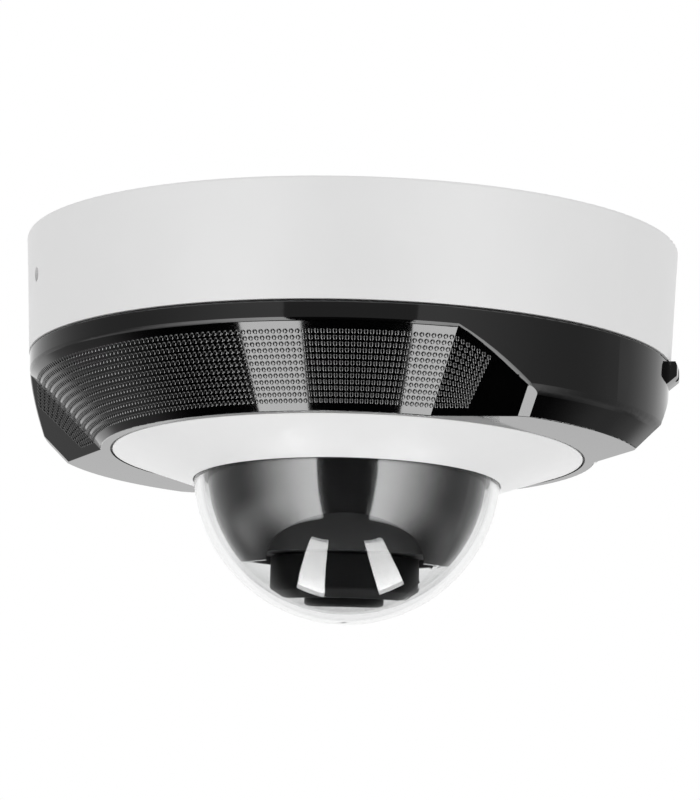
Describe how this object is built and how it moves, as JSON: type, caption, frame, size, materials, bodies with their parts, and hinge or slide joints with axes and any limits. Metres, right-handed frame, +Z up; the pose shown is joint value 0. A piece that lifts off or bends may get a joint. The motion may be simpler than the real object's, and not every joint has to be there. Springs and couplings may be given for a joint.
{
  "type": "dome cctv camera",
  "caption": "Compact ceiling dome security camera: white base, glossy black trim with a studded band, clear bubble, and a lens block that pans, tilts and rotates.",
  "frame": {"origin": "centre of the flat ceiling face of the base", "axes": "+Z up into the ceiling, -Y towards the middle of the front studded band, +X to its right seen with +Z up from the front"},
  "size_m": [0.11, 0.11, 0.0641],
  "materials": {
    "white_shell": "fine satin moulded polycarbonate",
    "white_ring": "smooth satin white",
    "black_gloss": "high gloss black",
    "clear_dome": "clear hard-coated polycarbonate",
    "liner_black": "semi-gloss black",
    "lens_black": "satin black",
    "inner_black": "matte black",
    "rubber": "matte black rubber",
    "circuit_board": "green solder mask",
    "chip": "black epoxy",
    "steel": "bright zinc",
    "aluminium": "brushed sheet",
    "contacts": "gold plated",
    "heat_pad": "soft silicone pad",
    "acetal": "natural acetal",
    "lens_glass": "coated optical glass",
    "sensor": "dark glazed sensor"
  },
  "bodies": {
    "housing": {"base_housing": "white_shell", "cable_grommet": "rubber", "side_outlet_plug": "white_shell", "cover_gasket": "rubber", "main_board": "circuit_board", "board_screws": "steel", "soc_chip": "chip", "heat_pad": "heat_pad", "memory_chips": "chip", "sensor_connector": "acetal", "ethernet_jack": "steel", "ethernet_contacts": "contacts", "power_connector": "acetal", "poe_transformer": "chip", "capacitors": "aluminium", "microsd_socket": "steel", "reset_switch": "steel", "microphone": "aluminium", "microphone_boot": "rubber", "chassis_plate": "aluminium", "chassis_screws": "steel", "friction_washer": "steel", "bearing_ring": "acetal", "bearing_screws": "steel"},
    "microsd_card": {"microsd_card": "chip"},
    "reset_button": {"reset_button": "inner_black"},
    "pan": {"pan_plate": "inner_black", "liner_screws": "steel", "dome_liner": "liner_black", "tilt_pins": "steel", "tilt_clips": "steel"},
    "eyeball": {"eyeball": "inner_black"},
    "lens": {"lens_block": "lens_black", "block_retainer": "acetal", "sensor_board": "circuit_board", "image_sensor": "sensor", "lens_holder": "inner_black", "infrared_filter": "lens_glass", "lens_barrel": "inner_black", "inner_lenses": "lens_glass", "front_lens": "lens_glass", "lens_bezel": "lens_black"},
    "cover": {"trim_cover": "black_gloss", "face_ring": "white_ring", "dome_bubble": "clear_dome", "bubble_gasket": "rubber", "bubble_clamp_ring": "inner_black", "clamp_screws": "steel"},
    "lock_screw": {"lock_screw": "steel"}
  },
  "joints": [
    {"name": "cover_drop", "type": "slide", "parent": "housing", "child": "cover", "axis": [0, 0, -1], "range_m": [0, 0.06]},
    {"name": "lock_screw_out", "type": "slide", "parent": "cover", "child": "lock_screw", "axis": [0.8805, 0.4741, 0], "range_m": [0, 0.003]},
    {"name": "pan", "type": "hinge", "parent": "housing", "child": "pan", "pos_m": [0, 0, -0.03835], "axis": [0, 0, 1], "range_deg": [-175, 175]},
    {"name": "tilt", "type": "hinge", "parent": "pan", "child": "eyeball", "pos_m": [0, 0, -0.03835], "axis": [-0.8141, -0.5807, 0], "range_deg": [0, 35]},
    {"name": "lens_rotation", "type": "hinge", "parent": "eyeball", "child": "lens", "pos_m": [0, 0, -0.03835], "axis": [-0.0456, 0.0639, -0.9969], "range_deg": [-175, 175]},
    {"name": "reset_press", "type": "slide", "parent": "housing", "child": "reset_button", "axis": [0, 0, 1], "range_m": [0, 0.00025], "stiffness_N_per_m": 500},
    {"name": "card_eject", "type": "slide", "parent": "housing", "child": "microsd_card", "axis": [1, 0, 0], "range_m": [0, 0.012]}
  ]
}
